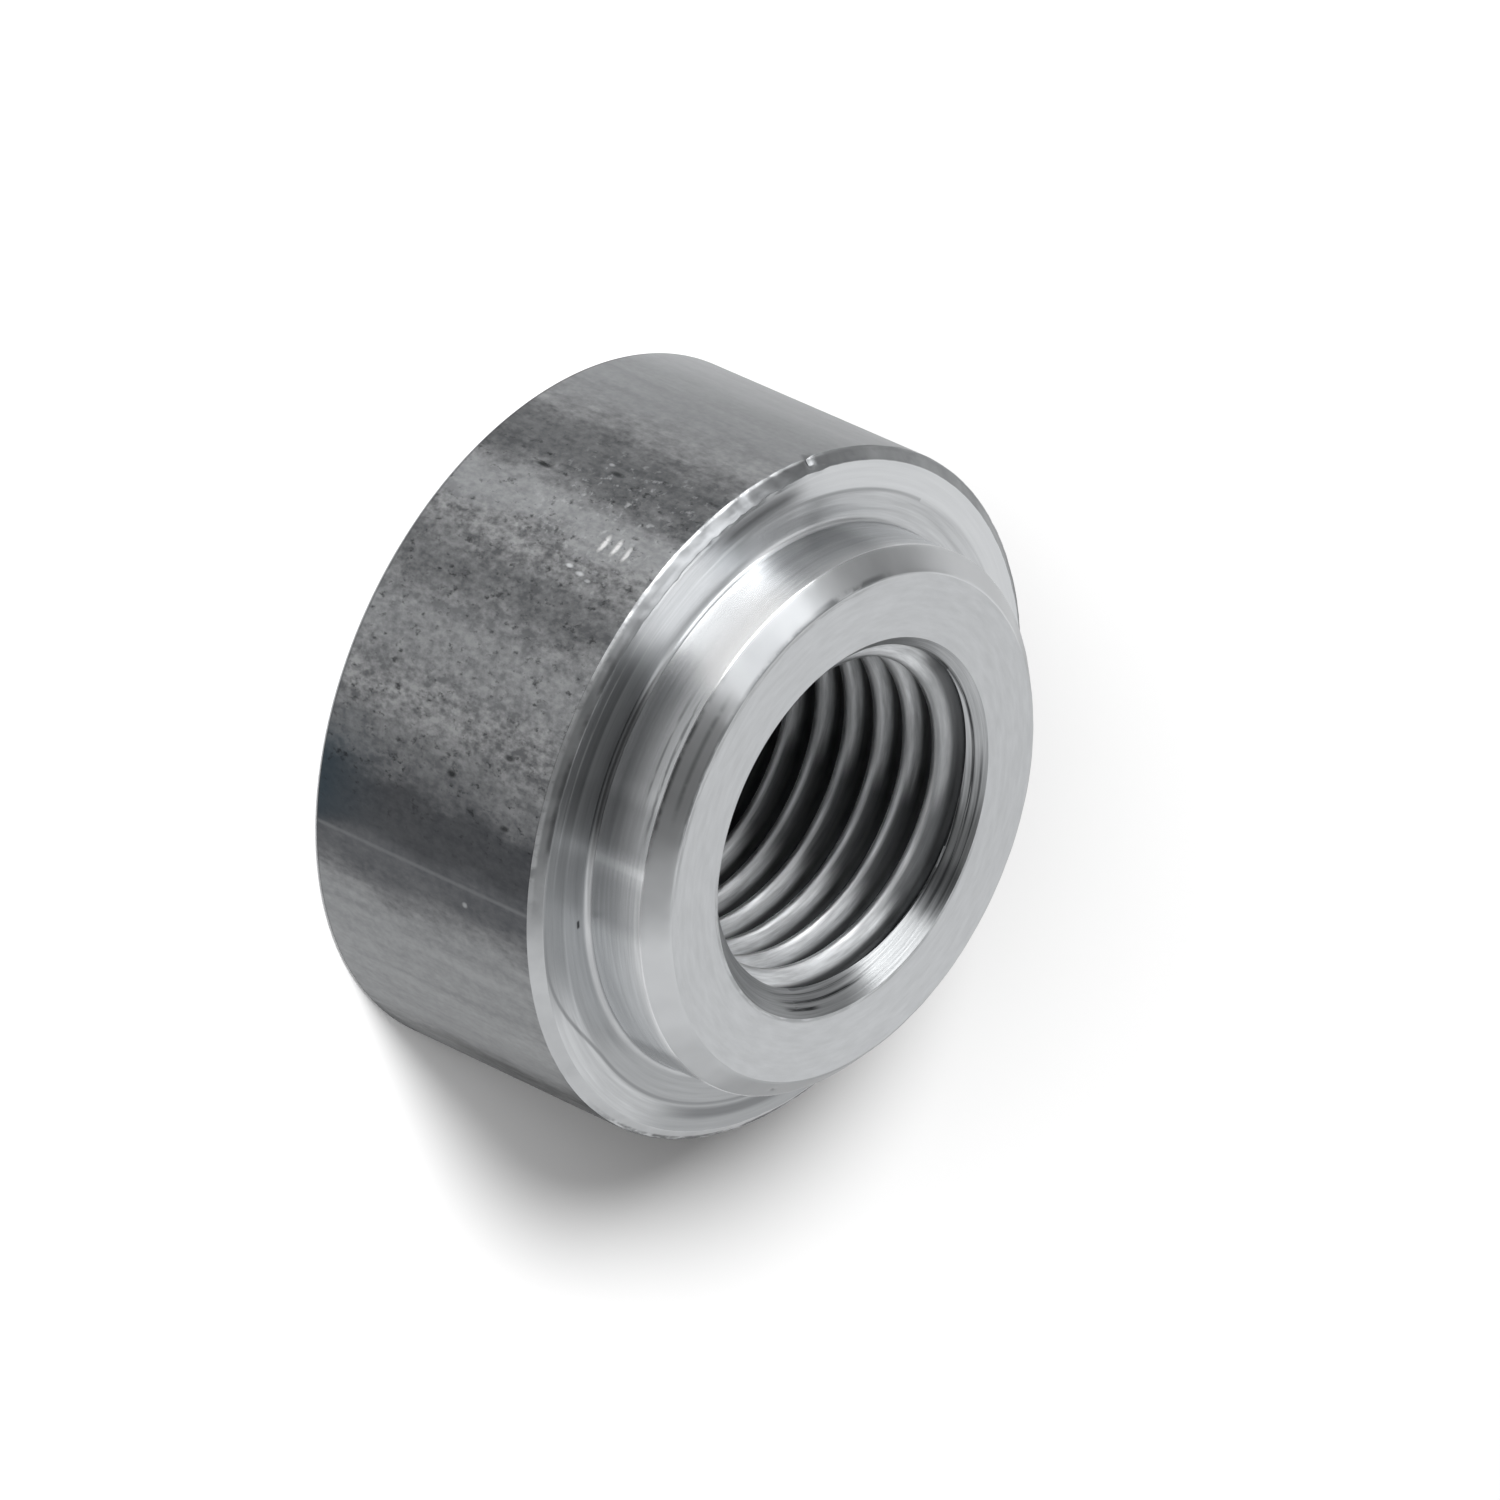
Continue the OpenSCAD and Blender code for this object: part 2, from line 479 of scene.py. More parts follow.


# Each turned look has the spacing and the depth of the tool's rings in millimetres, and how fast they change
# round the bore. A finishing cut feeds 0.05 to 0.1 mm a turn, too fine to show here, so the rings are drawn
# two or three times as coarse. The rows of "rings" paint light and shade onto the steel: lighter stretches
# for highlights and bright reflections, darker ones and broken dark lines for shade along edges, in the
# corner under the spigot and where the steel mirrors dark. The columns of "rings" are: what it is measured
# along (radius, height, or secondCut, which is the radius less the swing of the second cut's inner edge),
# start, end and softness in millimetres, first and last angle (beyond 180 where a ring goes on over the
# seam), length of its flecks in millimetres or 0 for none, colour, share

looks = {
    # the spigot's end, faced with shallow grooves: nearly matt and evenly pale, without a clear highlight;
    # broken dark lines of painted shade lie along its edges
    "faced": {
        "name": "facedSteel", "dark": "#C2C4C6", "light": "#CCCED0",
        "roughness": 0.5, "anisotropy": 0.3, "spacing": 0.22, "depth": 0.002, "drift": 0.9,
        "rings": [
            ("radius", 6.8, 6.98, 0.05, -100, 60, 0.8, "#8A8C8E", 0.5),
            ("radius", 8.95, 9.10, 0.05, 60, 150, 0.8, "#9A9C9E", 0.5),
        ],
    },
    # the chamfer round it, cut with the tool's flank: a bright belt with one hard highlight, and painted
    # light and shade round it
    "chamfered": {
        "name": "chamferedSteel", "dark": "#AEB0B2", "light": "#C8CACC",
        "roughness": 0.30, "anisotropy": 0.8, "spacing": 0.16, "depth": 0.006, "drift": 0.3,
        "rings": [
            # painted light and shade: lighter stretches where the belt mirrors bright, darker ones where it
            # mirrors dark, one that dims the highlight, and broken dark lines of shade along its edges
            ("radius", 9.00, 10.0, 0.05, 109, 136, 0, "#86888A", 0.65),
            ("radius", 9.00, 10.0, 0.05, 22, 52, 0, "#E4E6E8", 0.35),
            ("radius", 9.00, 10.0, 0.05, -66, 2, 0, "#8E9092", 0.5),
            ("radius", 9.00, 10.0, 0.05, 166, 200, 0, "#E4E6E8", 0.6),
            ("radius", 9.00, 10.0, 0.05, -200, -150, 0, "#E4E6E8", 0.6),
            ("radius", 9.10, 9.22, 0.05, 72, 104, 0.9, "#404244", 0.6),
            ("radius", 9.82, 9.95, 0.05, 72, 104, 0.9, "#404244", 0.7),
            ("radius", 9.45, 9.55, 0.05, 78, 102, 0.9, "#606264", 0.5),
            ("radius", 9.10, 9.30, 0.06, 132, 152, 0.9, "#505254", 0.6),
            ("radius", 9.15, 9.25, 0.04, 106, 128, 0.5, "#808284", 0.7),
        ],
    },
    # the spigot's wall: the brightest cut, with a highlight that runs along it, partly painted white
    "turned": {
        "name": "turnedSteel", "dark": "#D0D2D4", "light": "#F0F2F4",
        "roughness": 0.27, "anisotropy": 0.8, "spacing": 0.16, "depth": 0.006, "drift": 0.2,
        "rings": [
            # painted light and shade round the wall: a light line, darker stretches where it mirrors dark,
            # and a painted white highlight from 105 to 128 degrees
            ("height", 10.2, 13.0, 0.05, 63, 65, 0, "#F4F6F8", 0.6),
            ("height", 10.2, 13.0, 0.05, 50, 62, 0, "#A8AAAC", 0.5),
            ("height", 10.2, 13.0, 0.05, 65.5, 78, 0, "#8E9092", 0.65),
            ("height", 10.2, 13.0, 0.05, 5, 17, 0, "#86888A", 0.55),
            ("height", 10.2, 13.0, 0.05, 78, 103, 0, "#A8AAAC", 0.6),
            ("height", 10.2, 12.6, 0.05, 105, 128, 0, "#FFFFFF", 0.9),
            ("height", 10.2, 13.0, 0.05, 133, 156, 0, "#8E9092", 0.6),
            ("height", 12.30, 12.42, 0.04, 72, 100, 0.9, "#505254", 0.6),
            ("height", 11.90, 12.00, 0.04, 78, 100, 0.9, "#606264", 0.5),
        ],
    },
    # the shoulder, faced with deeper grooves: rings that can be seen, and highlights that fan out over them,
    # with painted light and shade round it
    "shoulder": {
        "name": "shoulderSteel", "dark": "#B2B4B6", "light": "#CED0D2",
        "roughness": 0.28, "anisotropy": 0.8, "spacing": 0.15, "depth": 0.009, "drift": 0.25,
        "rings": [
            # painted light and shade: the inner belt darker to dim its highlight, the second cut's crescent
            # lighter with a darker line along its edge, darker stretches where the shoulder mirrors dark, and
            # painted shade in the corner under the spigot and where the spigot hides it at the lower right
            ("radius", 10.1, 11.05, 0.07, -150, 150, 0, "#989A9C", 0.6),
            ("secondCut", 11.00, 11.12, 0.04, -60, 48, 0, "#707274", 0.6),
            ("secondCut", 11.14, 12.3, 0.05, 14, 52, 0, "#D8DADC", 0.25),
            ("radius", 9.95, 11.05, 0.10, 132, 148, 0, "#F0F2F4", 0.6),
            ("radius", 11.00, 11.12, 0.04, 146, 200, 0, "#7C7E80", 0.4),
            ("radius", 11.12, 12.3, 0.06, 146, 200, 0, "#DCDEE0", 0.7),
            ("radius", 11.12, 12.3, 0.06, -200, -130, 0, "#DCDEE0", 0.7),
            ("radius", 11.08, 12.3, 0.08, 38, 106, 0, "#8A8C8E", 0.7),
            ("radius", 11.08, 12.3, 0.08, 72, 101, 0, "#5E6062", 0.5),
            ("radius", 11.08, 12.3, 0.10, 104, 127, 0, "#626466", 0.65),
            ("radius", 9.90, 11.1, 0.10, 103, 128, 0, "#6C6E70", 0.55),
            ("radius", 11.15, 12.2, 0.10, -62, -2, 0, "#929496", 0.6),
            ("radius", 11.30, 11.80, 0.28, 126, 145, 0, "#58595B", 0.75),
            ("radius", 9.80, 10.16, 0.04, 66, 98, 0, "#303234", 0.8),
            ("radius", 11.60, 11.68, 0.03, 60, 102, 1.5, "#C8CACC", 0.5),
            ("radius", 11.20, 11.60, 0.14, -52, -8, 0, "#606264", 0.6),
            ("radius", 10.32, 10.44, 0.04, 48.8, 50.4, 0, "#202224", 0.9),
        ],
    },
    # the chamfer to the bar's skin: a darker line with painted light and shade round it: a lighter stretch,
    # broken dark lines of shade along its edges, and painted bright flecks where the burr catches the light
    "rim": {
        "name": "rimSteel", "dark": "#8C8E90", "light": "#B4B6B8",
        "roughness": 0.36, "anisotropy": 0.6, "spacing": 0.1, "depth": 0.006, "drift": 0.4,
        "rings": [
            ("radius", 12.0, 12.6, 0.05, -60, 54, 0, "#D8DADC", 0.5),
            ("radius", 12.34, 12.6, 0.04, -50, 8, 0.9, "#303234", 0.75),
            ("radius", 12.02, 12.2, 0.06, 62, 104, 2.0, "#3A3C3E", 0.6),
            ("radius", 12.36, 12.6, 0.04, 60, 110, 0.5, "#D8DADC", 0.6),
            ("radius", 12.0, 12.40, 0.03, 102, 152, 0, "#6A6C6E", 0.5),
            ("radius", 12.42, 12.6, 0.03, 84, 150, 0.6, "#F8FAFC", 0.75),
        ],
    },
    # the back, which the photograph doesn't show, faced plainly: the coarsest rings and a dull shine
    "back": {
        "name": "backSteel", "dark": "#A8AAAC", "light": "#BCBEC0",
        "roughness": 0.4, "anisotropy": 0.6, "spacing": 0.3, "depth": 0.008, "drift": 0.12,
        "rings": [],
    },
    # the countersink: glossy, with dark broken rings round part of it, and painted shade beside and over its
    # highlight
    "sunk": {
        "name": "countersunkSteel", "dark": "#949698", "light": "#BEC0C2",
        "roughness": 0.28, "anisotropy": 0.8, "spacing": 0.12, "depth": 0.01, "drift": 0.3,
        "rings": [
            ("radius", 6.66, 6.72, 0.03, -128, -76, 2.0, "#2A2C2E", 0.7),
            ("radius", 6.45, 6.53, 0.03, -172, -74, 3.0, "#1A1C1E", 0.9),
            ("radius", 6.22, 6.30, 0.03, -160, -74, 3.0, "#1A1C1E", 0.9),
            ("radius", 6.02, 6.10, 0.03, -140, -76, 3.0, "#1A1C1E", 0.8),
            ("radius", 6.38, 6.46, 0.03, -46, -10, 3.0, "#1A1C1E", 0.9),
            ("radius", 6.18, 6.24, 0.03, -50, -5, 3.0, "#2A2C2E", 0.7),
            ("radius", 6.56, 6.66, 0.03, -24, -10, 2.0, "#1A1C1E", 0.9),
            # painted shade: a darker stretch beside the highlight, and the highlight dimmed
            ("radius", 5.70, 6.95, 0.05, -92, -74, 0, "#5A5C5E", 0.55),
            ("radius", 5.70, 6.95, 0.05, -74, -44, 0, "#969899", 0.5),
        ],
    },
}


tapLook = {
    "dark": "#BABCBE", "light": "#F2F4F6",
    "marks": 0.11,  # width of the streaks that the tap's teeth leave, drawn coarser so that they show
    "depth": 0.012,  # of those streaks, in millimetres
    "markRoughness": 0.65,  # of their noise
    "markDrift": (0.056, 0.056, 0.25),  # how fast they change along a turn, and from turn to turn
    "roughness": 0.54,
    "crest": (5.0, 5.79, 0.05),  # from and to radius, softness
    "crestHighlight": ("#FFFFFF", 0.5),  # colour and share of the painted highlight on the crests
    "fade": (0.16, 0.02),  # distances from the countersink's cone at which the thread begins to fade and has
    "fadeTone": ("#AAACAE", 0.8),
    "fadeRoughness": 0.30,
    "rings": [
        # the same columns as above
        ("radius", 5.84, 6.90, 0.08, -110, -71, 0, "#4A4C4E", 0.8),  # painted shade: dark flanks on the picture's right
        ("radius", 6.42, 7.00, 0.16, -180, 180, 0, "#2A2C2E", 0.75),  # painted shade in the roots, all round
        ("radius", 6.25, 7.00, 0.11, -76, -12, 0, "#101214", 0.85),  # and darkest at the lower right
        ("radius", 6.22, 7.00, 0.10, -170, -106, 0, "#141618", 0.8),  # and at the upper right
        ("height", 11.20, 13.60, 0.40, -165, -98, 0, "#7C7E80", 0.5),  # painted shade: the first turn, duller there
    ],
    "crestRings": [
        ("radius", 5.00, 5.86, 0.05, -84, -56, 0, "#8A8C8E", 0.65),  # painted shade: duller crests beside the dark flanks
        ("radius", 5.00, 5.86, 0.05, -170, -112, 0, "#8A8C8E", 0.6),
    ],
}


def tappedFinish(look, s, t):
    # mild steel torn a little by the tap: matt for a metal, with a painted highlight on the crests and
    # painted shade in the roots
    made, tree, shader, at = newFinish("tappedSteel")
    # level: height above the root below, so that the marks follow the thread and their seam lies in the root
    lead = t["pitch"] * 1000
    # x and y are swapped, so this is a quarter turn less the angle up to which the thread has climbed
    turn = addNode(tree, "ShaderNodeMath", [at["x"], at["y"]], operation="ARCTAN2")
    level = addNode(tree, "ShaderNodeMath", [turn, lead / (2 * math.pi), at["height"]],
                    operation="MULTIPLY_ADD")
    toRoot = (0.25 - t["phase"]) * lead  # half a pitch from root to crest, less that quarter
    level = addNode(tree, "ShaderNodeMath", [level, toRoot], operation="ADD")
    level = addNode(tree, "ShaderNodeMath", [level, lead, 0.0], operation="WRAP")
    slow = addNode(tree, "ShaderNodeVectorMath", [at["place"], look["markDrift"]], operation="MULTIPLY")
    slowX, slowY, slowZ = addNode(tree, "ShaderNodeSeparateXYZ", [slow]).node.outputs
    slowX = addNode(tree, "ShaderNodeMath", [slowX, slowZ], operation="ADD")
    along = addNode(tree, "ShaderNodeCombineXYZ", [level, slowX, slowY])
    marks = addNode(tree, "ShaderNodeTexNoise", {"Vector": along, "Scale": 1 / look["marks"], **noiseKind,
                                                 "Roughness": look["markRoughness"]})
    tone = addNode(tree, "ShaderNodeMapRange", [marks, *noiseSpan])
    colour = addNode(tree, "ShaderNodeMix", {0: tone, 6: linear(look["dark"]), 7: linear(look["light"])},
                     data_type="RGBA").node.outputs[2]
    # rings of painted shade on the flanks and in the roots
    for ring in look["rings"]:
        colour = paintedLightRing(tree, at, colour, ring)
    # a painted highlight on the crests
    crest = band(tree, at["radius"], *look["crest"])
    bright = addNode(tree, "ShaderNodeMath", [crest, tone], operation="MULTIPLY")
    colour = stainAndPaintedLight(tree, colour, bright, *look["crestHighlight"])
    for ring in look["crestRings"]:
        colour = paintedLightRing(tree, at, colour, ring)
    # where the countersink cuts the thread, it takes on the countersink's tone and gloss
    fromTop = addNode(tree, "ShaderNodeMath", [s["top"] * 1000, at["height"]], operation="SUBTRACT")
    fromFace = addNode(tree, "ShaderNodeMath", [at["height"], fromTop], operation="MINIMUM")
    cone = addNode(tree, "ShaderNodeMath", [s["mouthRadius"] * 1000, fromFace], operation="SUBTRACT")
    beyond = addNode(tree, "ShaderNodeMath", [at["radius"], cone], operation="SUBTRACT")
    cutOpen = addNode(tree, "ShaderNodeMapRange", [beyond, *look["fade"]])
    tree.links.new(stainAndPaintedLight(tree, colour, cutOpen, *look["fadeTone"]), shader.inputs["Base Color"])
    shine = addNode(tree, "ShaderNodeMapRange", [cutOpen, 0.0, 1.0, look["roughness"], look["fadeRoughness"]])
    tree.links.new(shine, shader.inputs["Roughness"])
    bump = addNode(tree, "ShaderNodeBump", {"Strength": 1.0, "Distance": mm(look["depth"]), "Height": marks})
    tree.links.new(bump, shader.inputs["Normal"])
    return made


barSkin = {
    "dark": "#6A6B6D", "light": "#ABACAD",
    "roughness": (0.38, 0.55),
    "depth": 0.010,  # of its relief, in millimetres
    "noises": {
        # stretch in x, y and z (0.06 draws a cell out 16 times), width of a cell in millimetres, seed;
        # sand and pits are several times as coarse as on real skin, so that they show
        "streaks": ((1.0, 1.0, 0.06), 0.7, 0.0),
        "mottle": ((1.0, 1.0, 0.6), 0.5, 7.0),
        "sand": ((1.0, 1.0, 0.7), 0.22, 11.0),
        "cloud": ((1.0, 1.0, 0.5), 1.6, 5.0),
        "pits": ((1.0, 1.0, 0.7), 0.27, 3.0),
        "scratches": ((1.0, 1.0, 1.0), 0.32, 17.0),
    },
    "toneSpan": (0.70, 1.30),  # values of streaks, mottle and sand together that give dark and light
    "wander": 12.0,  # degrees by which the clouds shift the edges of the bands
    "rough": (62, 132, 7),  # first and last angle and softness of the stretch with pits and more sand
    "sandStrength": (0.75, 1.5),  # off that stretch and on it
    "pitSpan": (0.59, 0.72),  # values of the noise at which pits begin and are whole
    "pitTone": ("#1E2022", 0.7),
    "rubbed": ((107, 131, 5), (3.5, 9.5, 1.5)),  # angles, then heights, each with softness, of the scratches
    "scratchSpan": (0.57, 0.72),
    "scratchTone": ("#D8DADC", 0.5),
    "backEdge": (-1.0, 0.2, 0.06),  # heights and softness of the dark line along the back
    "backTone": ("#4A4C4E", 0.7),
    "bandSoftness": 3.0,  # in millimetres, along the bar
    "bands": [
        # first and last angle, softness, height from and to, colour, share: painted reflections and shade
        # round the bar, with a painted highlight from 113 to 121 degrees, except the thin light line at 55
        # degrees, which the bar itself has
        # painted shade: near the bottom the bar mirrors the shadow on the floor, darker towards the rim
        (-14, 13, 6, -9, 19, "#505254", 0.6),
        (-30, 20, 9, 4, 19, "#202224", 0.85),
        # painted reflections: a lighter stretch, then a dark band, bluish at the back
        (15, 46, 4, -9, 19, "#AAACAE", 0.5),
        (48, 69, 5, -9, 19, "#585A5E", 0.75),
        (57, 68, 3, -9, 19, "#303236", 0.55),
        (58, 72, 3, -9, 0.8, "#2E4450", 0.8),
        # a thin light line along the bar, its own mark
        (54.7, 55.3, 0.25, -9, 19, "#8C8E90", 0.45),
        # painted reflections: darker and lighter stretches, with a painted highlight at 113 to 121 degrees
        (69, 77, 4, -9, 19, "#6A6C6E", 0.5),
        (84, 97, 5, -9, 19, "#989A9C", 0.4),
        (98, 107, 3.5, -9, 19, "#646668", 0.5),
        (113, 121, 3, -9, 19, "#B4B6B8", 0.55),
        (122, 134, 4, -9, 19, "#5C5E60", 0.65),
        # painted reflections: the top lighter
        (140, 190, 8, -9, 19, "#A8AAAC", 0.65),
        (158, 190, 8, -9, 19, "#C0C2C4", 0.5),
        (177, 190, 2, -9, 19, "#909294", 0.6),
    ],
    "markRagged": 3.0,  # how far the sand frays the small marks
    "markSpan": (1.2, 0.5),  # distance from a mark's middle, in half widths, at which it begins and is whole
    "marks": [
        # angle, half width in degrees, height, half height in millimetres, colour, share
        # painted glints on the three dents pressed in here
        (114.8, 1.7, 7.20, 0.13, "#FFFFFF", 0.9),
        (115.0, 1.7, 7.72, 0.12, "#FFFFFF", 0.9),
        (114.6, 1.5, 8.24, 0.11, "#FFFFFF", 0.8),
        (109.2, 0.4, 6.60, 0.16, "#F0F2F4", 0.7),
        (108.6, 0.4, 7.15, 0.18, "#F0F2F4", 0.6),
        (108.0, 0.3, 7.60, 0.14, "#E8EAEC", 0.5),
        (72.0, 0.6, 5.75, 0.22, "#141618", 0.8),
        (67.4, 0.5, 8.45, 0.25, "#141618", 0.7),
        (78.0, 0.5, 7.95, 0.22, "#141618", 0.7),
        (123.4, 0.5, 2.90, 0.40, "#141618", 0.8),
        (128.5, 0.35, 5.00, 0.13, "#D8DADC", 0.5),
        (127.2, 0.5, 5.50, 0.30, "#2A2C2E", 0.7),
        (52.0, 0.5, 7.00, 0.12, "#B8BABC", 0.7),
    ],
}


def drawnFinish(skin):
    # cold-drawn bar's own skin: grey and rather matt, with streaks along the bar and small pits, and bands of
    # painted reflection, highlight and shade round it
    made, tree, shader, at = newFinish("drawnBarSteel")
    noises = {name: grain(tree, at, *row) for name, row in skin["noises"].items()}
    wander = addNode(tree, "ShaderNodeMath", [noises["cloud"], skin["wander"], at["angle"]],
                     operation="MULTIPLY_ADD")
    wander = addNode(tree, "ShaderNodeMath", [wander, -skin["wander"] / 2], operation="ADD")
    rough = band(tree, wander, *skin["rough"])
    sandy = addNode(tree, "ShaderNodeMapRange", [rough, 0.0, 1.0, *skin["sandStrength"]])
    sand = addNode(tree, "ShaderNodeMath", [noises["sand"], -0.5], operation="ADD")  # now about zero
    both = addNode(tree, "ShaderNodeMath", [noises["streaks"], noises["mottle"]], operation="ADD")
    relief = addNode(tree, "ShaderNodeMath", [sand, sandy, both], operation="MULTIPLY_ADD")
    tone = addNode(tree, "ShaderNodeMapRange", [relief, *skin["toneSpan"]])
    colour = addNode(tree, "ShaderNodeMix", {0: tone, 6: linear(skin["dark"]), 7: linear(skin["light"])},
                     data_type="RGBA").node.outputs[2]
    # the bands: painted reflections, highlight and shade
    for first, last, soft, low, high, hexColour, share in skin["bands"]:
        place = at["angle"] if last - first < 2 else wander  # a fine line stays straight
        level = band(tree, at["height"], low, high, skin["bandSoftness"])
        sector = band(tree, place, first, last, soft)
        mask = addNode(tree, "ShaderNodeMath", [sector, level], operation="MULTIPLY")
        colour = stainAndPaintedLight(tree, colour, mask, hexColour, share)
    pitted = addNode(tree, "ShaderNodeMapRange", [noises["pits"], *skin["pitSpan"]])
    pitted = addNode(tree, "ShaderNodeMath", [pitted, rough], operation="MULTIPLY")
    colour = stainAndPaintedLight(tree, colour, pitted, *skin["pitTone"])
    angles, heights = skin["rubbed"]
    rubbed = addNode(tree, "ShaderNodeMath",
                     [band(tree, at["angle"], *angles), band(tree, at["height"], *heights)],
                     operation="MULTIPLY")
    scratched = addNode(tree, "ShaderNodeMapRange", [noises["scratches"], *skin["scratchSpan"]])
    scratched = addNode(tree, "ShaderNodeMath", [scratched, rubbed], operation="MULTIPLY")
    colour = stainAndPaintedLight(tree, colour, scratched, *skin["scratchTone"])
    ragged = addNode(tree, "ShaderNodeMath", [sand, skin["markRagged"]], operation="MULTIPLY")
    for middle, width, height, half, hexColour, share in skin["marks"]:
        across = addNode(tree, "ShaderNodeMath", [at["angle"], 1 / width, -middle / width],
                         operation="MULTIPLY_ADD")
        along = addNode(tree, "ShaderNodeMath", [at["height"], 1 / half, -height / half],
                        operation="MULTIPLY_ADD")
        away = addNode(tree, "ShaderNodeCombineXYZ", [across, along, ragged])
        away = addNode(tree, "ShaderNodeVectorMath", [away], operation="LENGTH").node.outputs["Value"]
        mask = addNode(tree, "ShaderNodeMapRange", [away, *skin["markSpan"]])
        colour = stainAndPaintedLight(tree, colour, mask, hexColour, share)
    colour = stainAndPaintedLight(tree, colour, band(tree, at["height"], *skin["backEdge"]), *skin["backTone"])
    tree.links.new(colour, shader.inputs["Base Color"])
    shine = addNode(tree, "ShaderNodeMapRange", [noises["mottle"], *noiseSpan, *skin["roughness"]])
    tree.links.new(shine, shader.inputs["Roughness"])
    low = addNode(tree, "ShaderNodeMath", [relief, pitted], operation="SUBTRACT")
    bump = addNode(tree, "ShaderNodeBump", {"Strength": 1.0, "Distance": mm(skin["depth"]), "Height": low})
    tree.links.new(bump, shader.inputs["Normal"])
    return made


finishes = {name: turnedFinish(look, wear) for name, look in looks.items()}
finishes["drawn"] = drawnFinish(barSkin)
finishes["tapped"] = tappedFinish(tapLook, bung, thread)
bungPiece = makeBung(bung, thread, wear, finishes)
print("bung made")


# Camera, as the photograph was taken: the bore runs to the lower right

view = {
    "elevation": 35.622,  # degrees above the shoulder's plane
    "roll": 114.31,
    "distance": mm(529.62),  # from the centre of the shoulder's outer rim
    "lens": 375.16,
    "sensor": 36.0,
    "nearest": mm(10),  # what stands closer than this isn't shown
    "sideways": (mm(-0.921), mm(1.480)),  # of the picture's centre from that centre
}


def makeCamera(v, target):
    camera = bpy.data.objects.new("camera", bpy.data.cameras.new("camera"))
    camera.data.lens = v["lens"]
    camera.data.sensor_width = v["sensor"]
    camera.data.clip_start = v["nearest"]
    elevation = math.radians(v["elevation"])
    back = Vector((0, -math.cos(elevation), math.sin(elevation)))
    turned = back.to_track_quat("Z", "Y").to_matrix() @ Matrix.Rotation(math.radians(v["roll"]), 3, "Z")
    place = target + turned @ Vector((*v["sideways"], v["distance"]))
    camera.matrix_world = Matrix.Translation(place) @ turned.to_4x4()
    scene.collection.objects.link(camera)
    scene.camera = camera


makeCamera(view, Vector((0, 0, bung["shoulderHeight"] - bung["shoulderChamfer"])))


# Floor, lamps and room

studio = {
    "floorHalf": 3,  # metres from its middle to its sides
    "floorWhite": 0.8,
    "floorSeen": 1.25,  # how much brighter the camera sees the floor, so that it reads as white
    "floorMirrored": 0.82,  # the same for what metal and glass mirror
    "lamps": [
        # name, azimuth, elevation, distance and size in metres, power in watts
        ("key", 247, 38, 2.0, 0.56, 51),
        ("fill", 269, 26, 2.0, 0.85, 23),
    ],
    "roomLight": 0.075,  # on matt surfaces
    "roomLevel": 0.9,  # that the metal mirrors where no card stands
    "cards": [
        # what else the metal mirrors: azimuth from and to, elevation from and to, softness, level
        (-172, -125, 36, 74, 3, 1.7),
        (-172, -125, 12, 37, 3, 5.3),
        (-117, -42, 12, 78, 5, 0.15),
        (-42, -15, 12, 70, 8, 0.5),
        (126, 178, 8, 42, 7, 0.36),
    ],
}


def direction(azimuth, elevation):
    a, e = math.radians(azimuth), math.radians(elevation)
    return Vector((math.cos(a) * math.cos(e), math.sin(a) * math.cos(e), math.sin(e)))


def bySight(tree, matt, mirrored, seen):
    # one value for what lights matt surfaces, one for what metal and glass mirror, one for the camera
    path = addNode(tree, "ShaderNodeLightPath", []).node.outputs
    shiny = addNode(tree, "ShaderNodeMath", [path["Is Glossy Ray"], path["Is Transmission Ray"]],
                    operation="MAXIMUM")
    value = addNode(tree, "ShaderNodeMapRange", [shiny, 0.0, 1.0, matt, mirrored])
    return addNode(tree, "ShaderNodeMapRange", [path["Is Camera Ray"], 0.0, 1.0, value, seen])


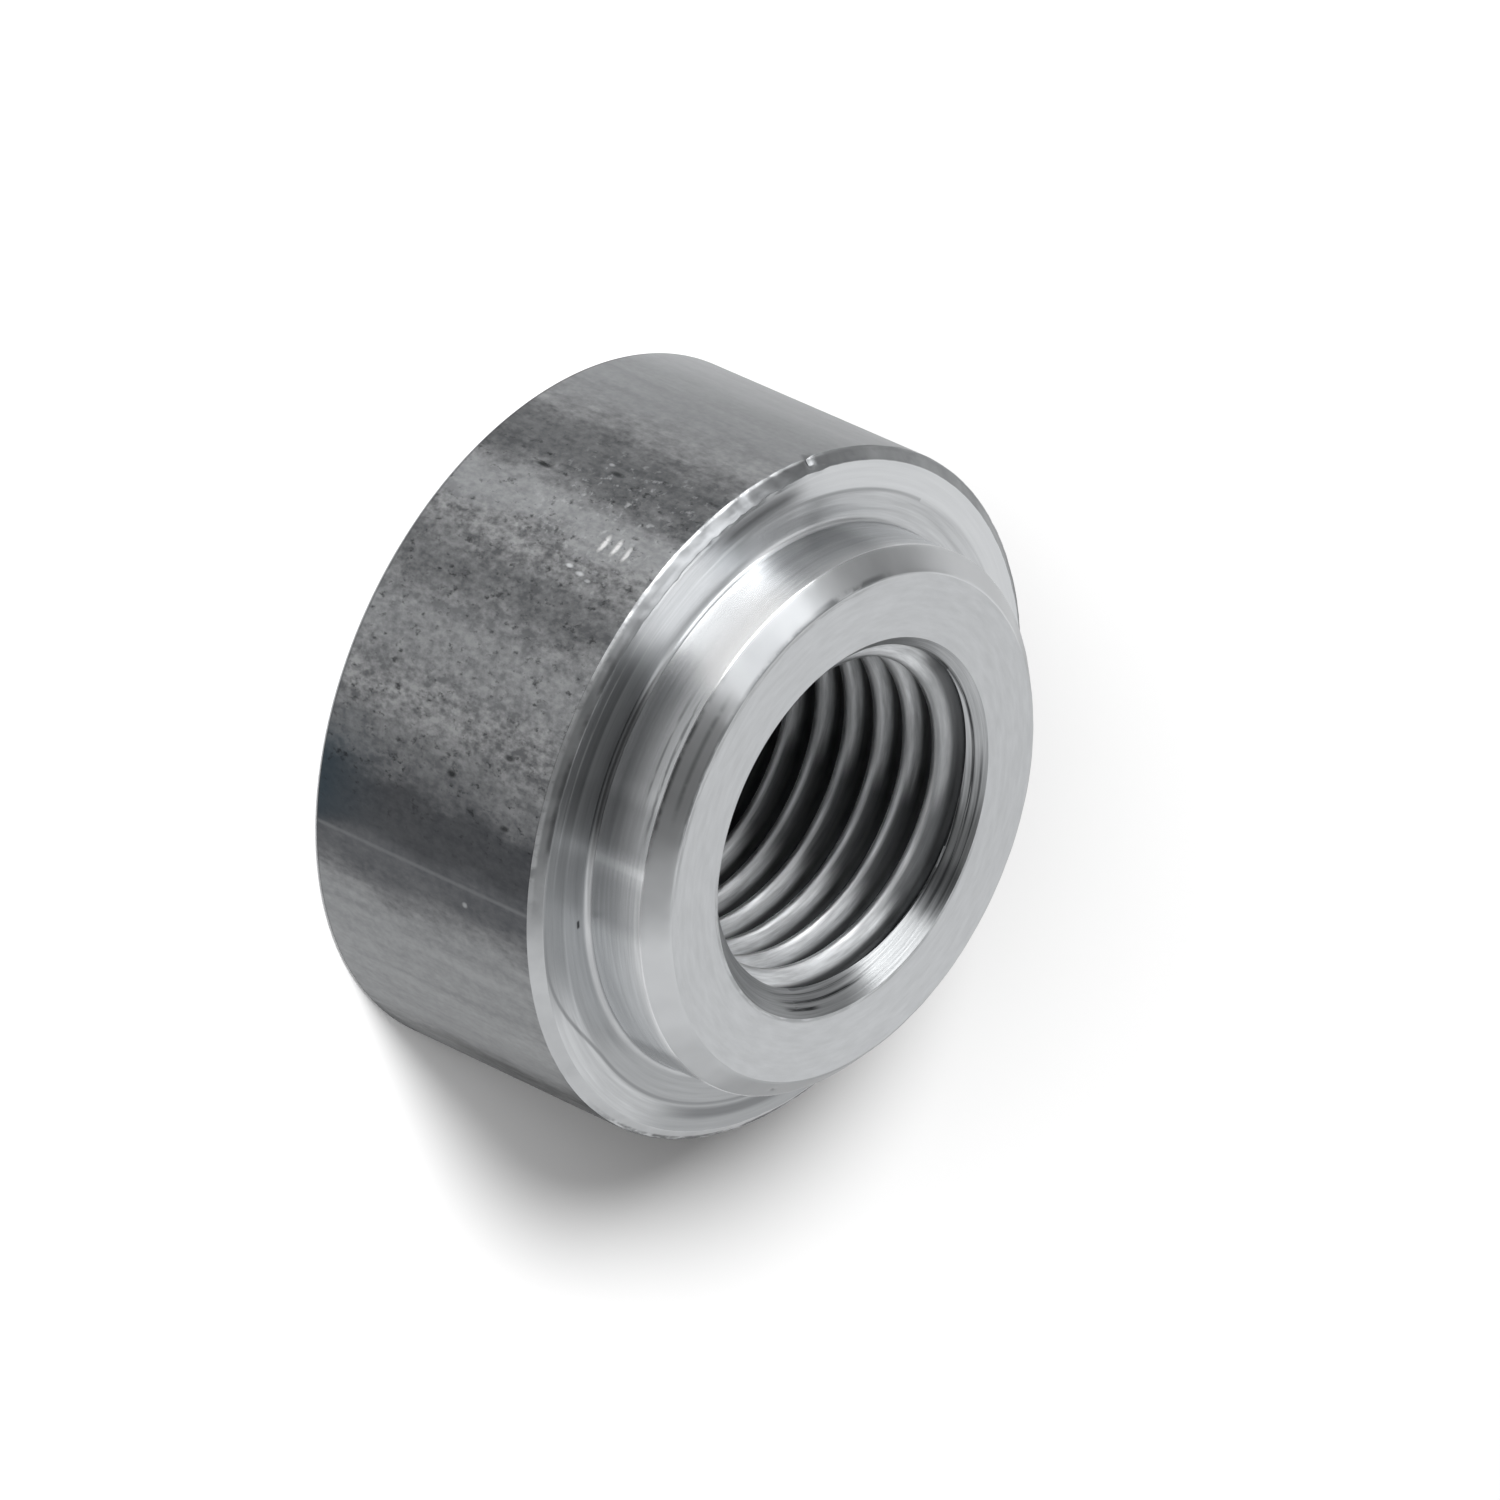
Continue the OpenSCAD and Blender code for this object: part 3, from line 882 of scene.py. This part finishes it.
def makeFloor(s):
    # matt white paper, which the photograph shows as plain white with a soft shadow
    mesh = bpy.data.meshes.new("floor")
    half = s["floorHalf"]
    corners = [(-half, -half, 0), (half, -half, 0), (half, half, 0), (-half, half, 0)]
    mesh.from_pydata(corners, [], [(0, 1, 2, 3)])
    floor = bpy.data.objects.new("floor", mesh)
    scene.collection.objects.link(floor)
    paper = bpy.data.materials.new("whitePaper")
    paper.use_nodes = True
    tree = paper.node_tree
    tree.nodes.clear()
    matt = s["floorWhite"]
    white = bySight(tree, matt, matt * s["floorMirrored"], matt * s["floorSeen"])
    diffuse = addNode(tree, "ShaderNodeBsdfDiffuse", {"Color": white})
    addNode(tree, "ShaderNodeOutputMaterial", [diffuse])
    mesh.materials.append(paper)


def makeLamps(s):
    # they light the paper and throw the shadow; what the metal mirrors is in the room
    for name, azimuth, elevation, distance, size, power in s["lamps"]:
        back = direction(azimuth, elevation)
        data = bpy.data.lights.new(name, "AREA")
        data.shape = "DISK"
        data.size = size
        data.energy = power
        lamp = bpy.data.objects.new(name, data)
        turned = back.to_track_quat("Z", "Y").to_matrix().to_4x4()
        lamp.matrix_world = Matrix.Translation(back * distance) @ turned
        lamp.visible_glossy = False
        scene.collection.objects.link(lamp)


def makeRoom(s):
    # a plain pale room with a few brighter and darker cards, which only the metal mirrors
    world = bpy.data.worlds.new("room")
    world.use_nodes = True
    tree = world.node_tree
    shader = tree.nodes["Background"]
    toward = addNode(tree, "ShaderNodeTexCoord", []).node.outputs["Generated"]
    x, y, z = addNode(tree, "ShaderNodeSeparateXYZ", [toward]).node.outputs
    azimuth = addNode(tree, "ShaderNodeMath", [y, x], operation="ARCTAN2")
    azimuth = addNode(tree, "ShaderNodeMath", [azimuth], operation="DEGREES")
    elevation = addNode(tree, "ShaderNodeMath", [z], operation="ARCSINE")
    elevation = addNode(tree, "ShaderNodeMath", [elevation], operation="DEGREES")
    level = s["roomLevel"]
    for left, right, low, high, soft, cardLevel in s["cards"]:
        across = band(tree, azimuth, left, right, soft)
        up = band(tree, elevation, low, high, soft)
        card = addNode(tree, "ShaderNodeMath", [across, up], operation="MULTIPLY")
        level = addNode(tree, "ShaderNodeMix", {0: card, 2: level, 3: cardLevel}, data_type="FLOAT")
    shader.inputs["Color"].default_value = (1, 1, 1, 1)
    tree.links.new(bySight(tree, s["roomLight"], level, 1.0), shader.inputs["Strength"])
    world.cycles.sampling_method = "NONE"  # so that what metal mirrors isn't mixed with what lights the paper
    scene.world = world


makeFloor(studio)
makeLamps(studio)
makeRoom(studio)
scene.view_settings.view_transform = "Standard"
print("floor and lights made")

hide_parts("bung")
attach(bungPiece, "root")
print("ready")
